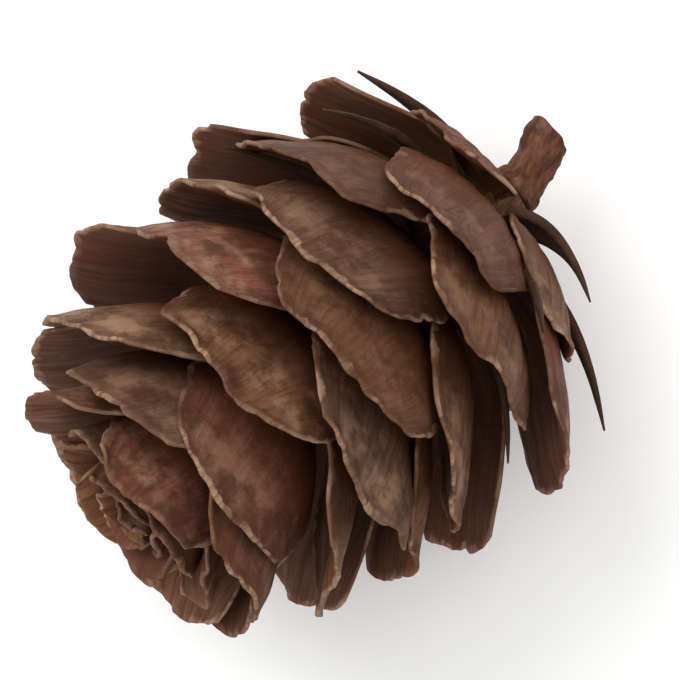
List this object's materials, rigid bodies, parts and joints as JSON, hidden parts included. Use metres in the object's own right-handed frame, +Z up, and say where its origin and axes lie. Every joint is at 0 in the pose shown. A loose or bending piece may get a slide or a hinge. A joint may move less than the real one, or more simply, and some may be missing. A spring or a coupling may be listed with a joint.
{
  "type": "pine cone",
  "caption": "Dry larch cone lying on its side, tip raised: rounded woody scales in spirals, a tight tip rosette, fine bract points and a stub of stalk.",
  "frame": {"origin": "centre of the bottom of the bounding box, on the surface that the cone rests on", "axes": "+Z up from the surface; +X towards the cone's tip, which is lifted 23.25 degrees; the stalk leaves towards -X"},
  "size_m": [0.0322, 0.0268, 0.0259],
  "materials": {
    "cone_scales": "dry and matt, finely streaked",
    "stalk_bark": "rough bark"
  },
  "bodies": {
    "root": {"cone": "cone_scales", "stalk": "stalk_bark"}
  },
  "joints": []
}
